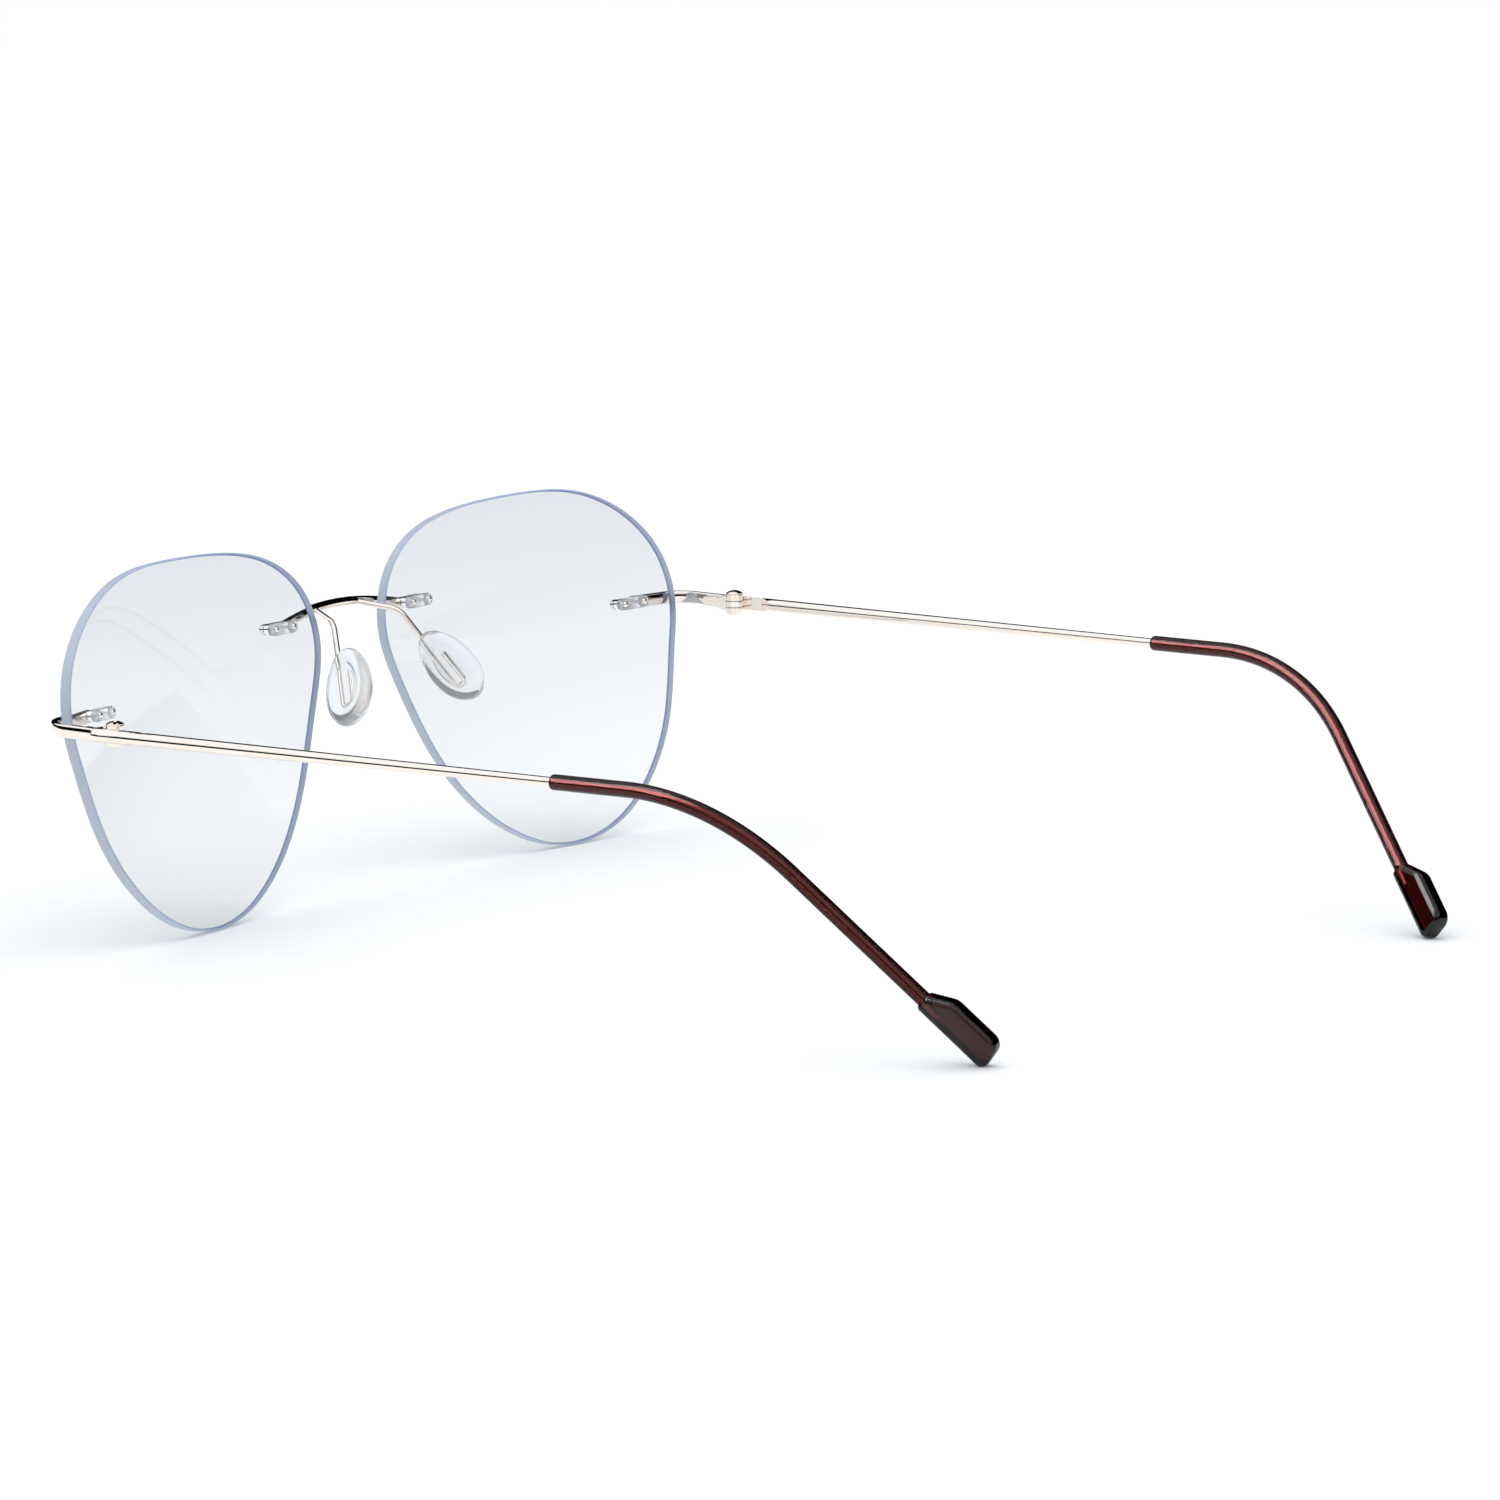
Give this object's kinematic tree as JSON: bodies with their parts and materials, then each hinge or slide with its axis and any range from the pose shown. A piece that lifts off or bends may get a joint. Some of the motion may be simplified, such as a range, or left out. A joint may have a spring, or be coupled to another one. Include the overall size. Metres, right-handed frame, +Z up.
{
  "type": "rimless eyeglasses",
  "caption": "Rimless eyeglasses: drilled clear lenses joined by an arched bridge, thin metal temples that fold on screw hinges, bent plastic tips and push-on nose pads.",
  "frame": {"origin": "centre of the box of the open glasses, on the surface that they stand on", "axes": "+X to the wearer's left, +Y back along the temples, +Z up"},
  "size_m": [0.1344, 0.1523, 0.0496],
  "materials": {
    "lens_clear": "clear, polished, with a faint blue-grey cast",
    "gold_metal": "polished pale gold plate",
    "plug_clear": "clear moulded plastic",
    "silicone_clear": "clear soft silicone",
    "screw_metal": "polished",
    "tip_plastic": "glossy translucent dark red-brown"
  },
  "bodies": {
    "front": {"bridge": "gold_metal", "lens_left": "lens_clear", "nasal_pins_left": "gold_metal", "nasal_plug_left": "plug_clear", "temporal_pins_left": "gold_metal", "temporal_plug_left": "plug_clear", "pad_arm_left": "gold_metal", "nose_pad_left": "silicone_clear", "endpiece_left": "gold_metal", "hinge_screw_left": "screw_metal", "lens_right": "lens_clear", "nasal_pins_right": "gold_metal", "nasal_plug_right": "plug_clear", "temporal_pins_right": "gold_metal", "temporal_plug_right": "plug_clear", "pad_arm_right": "gold_metal", "nose_pad_right": "silicone_clear", "endpiece_right": "gold_metal", "hinge_screw_right": "screw_metal"},
    "temple_left": {"temple_left": "gold_metal", "tip_sleeve_left": "tip_plastic", "tip_paddle_left": "tip_plastic"},
    "temple_right": {"temple_right": "gold_metal", "tip_sleeve_right": "tip_plastic", "tip_paddle_right": "tip_plastic"}
  },
  "joints": [
    {"name": "hinge_left", "type": "hinge", "parent": "front", "child": "temple_left", "pos_m": [0.065, -0.0568, 0.03135], "axis": [0, 0, 1], "range_deg": [0, 86]},
    {"name": "hinge_right", "type": "hinge", "parent": "front", "child": "temple_right", "pos_m": [-0.065, -0.0568, 0.03135], "axis": [0, 0, -1], "range_deg": [0, 74]}
  ]
}
